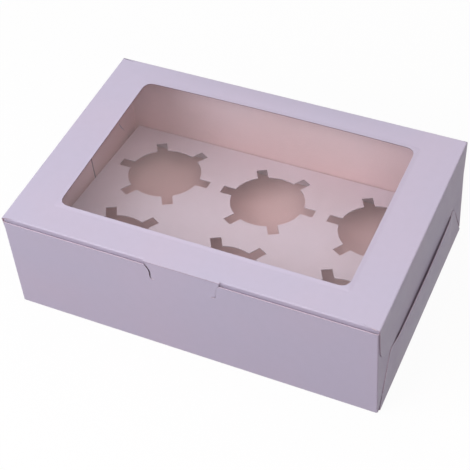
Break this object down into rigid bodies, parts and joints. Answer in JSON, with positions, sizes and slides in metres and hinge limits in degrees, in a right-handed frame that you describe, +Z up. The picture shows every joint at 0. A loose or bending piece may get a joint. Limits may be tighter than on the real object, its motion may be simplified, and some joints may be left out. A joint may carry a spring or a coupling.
{
  "type": "windowed cupcake box",
  "caption": "Folded card cake box with a hinged lid, a clear window in the lid and a holed insert that holds cupcakes upright.",
  "frame": {"origin": "middle of the underside, on the surface the box stands on", "axes": "+X along the length, to the right seen from the front; +Y towards the hinged back; +Z up"},
  "size_m": [0.2426, 0.16, 0.0765],
  "materials": {
    "lilac_card": "pale lilac card with a soft matte coating, warm grey uncoated inside, pale raw edges",
    "lid_card": "pale lilac card with a soft matte coating, creased along its folds",
    "clear_film": "thin clear glossy film, slightly wavy",
    "insert_card": "uncoated warm grey card with die-cut edges"
  },
  "bodies": {
    "tray": {"tray": "lilac_card", "insert": "insert_card"},
    "lid": {"lid": "lid_card", "window_film": "clear_film"}
  },
  "joints": [
    {"name": "lid_hinge", "type": "hinge", "parent": "tray", "child": "lid", "pos_m": [0, 0.08015, 0.0755], "axis": [-1, 0, 0], "range_deg": [0, 180]}
  ]
}
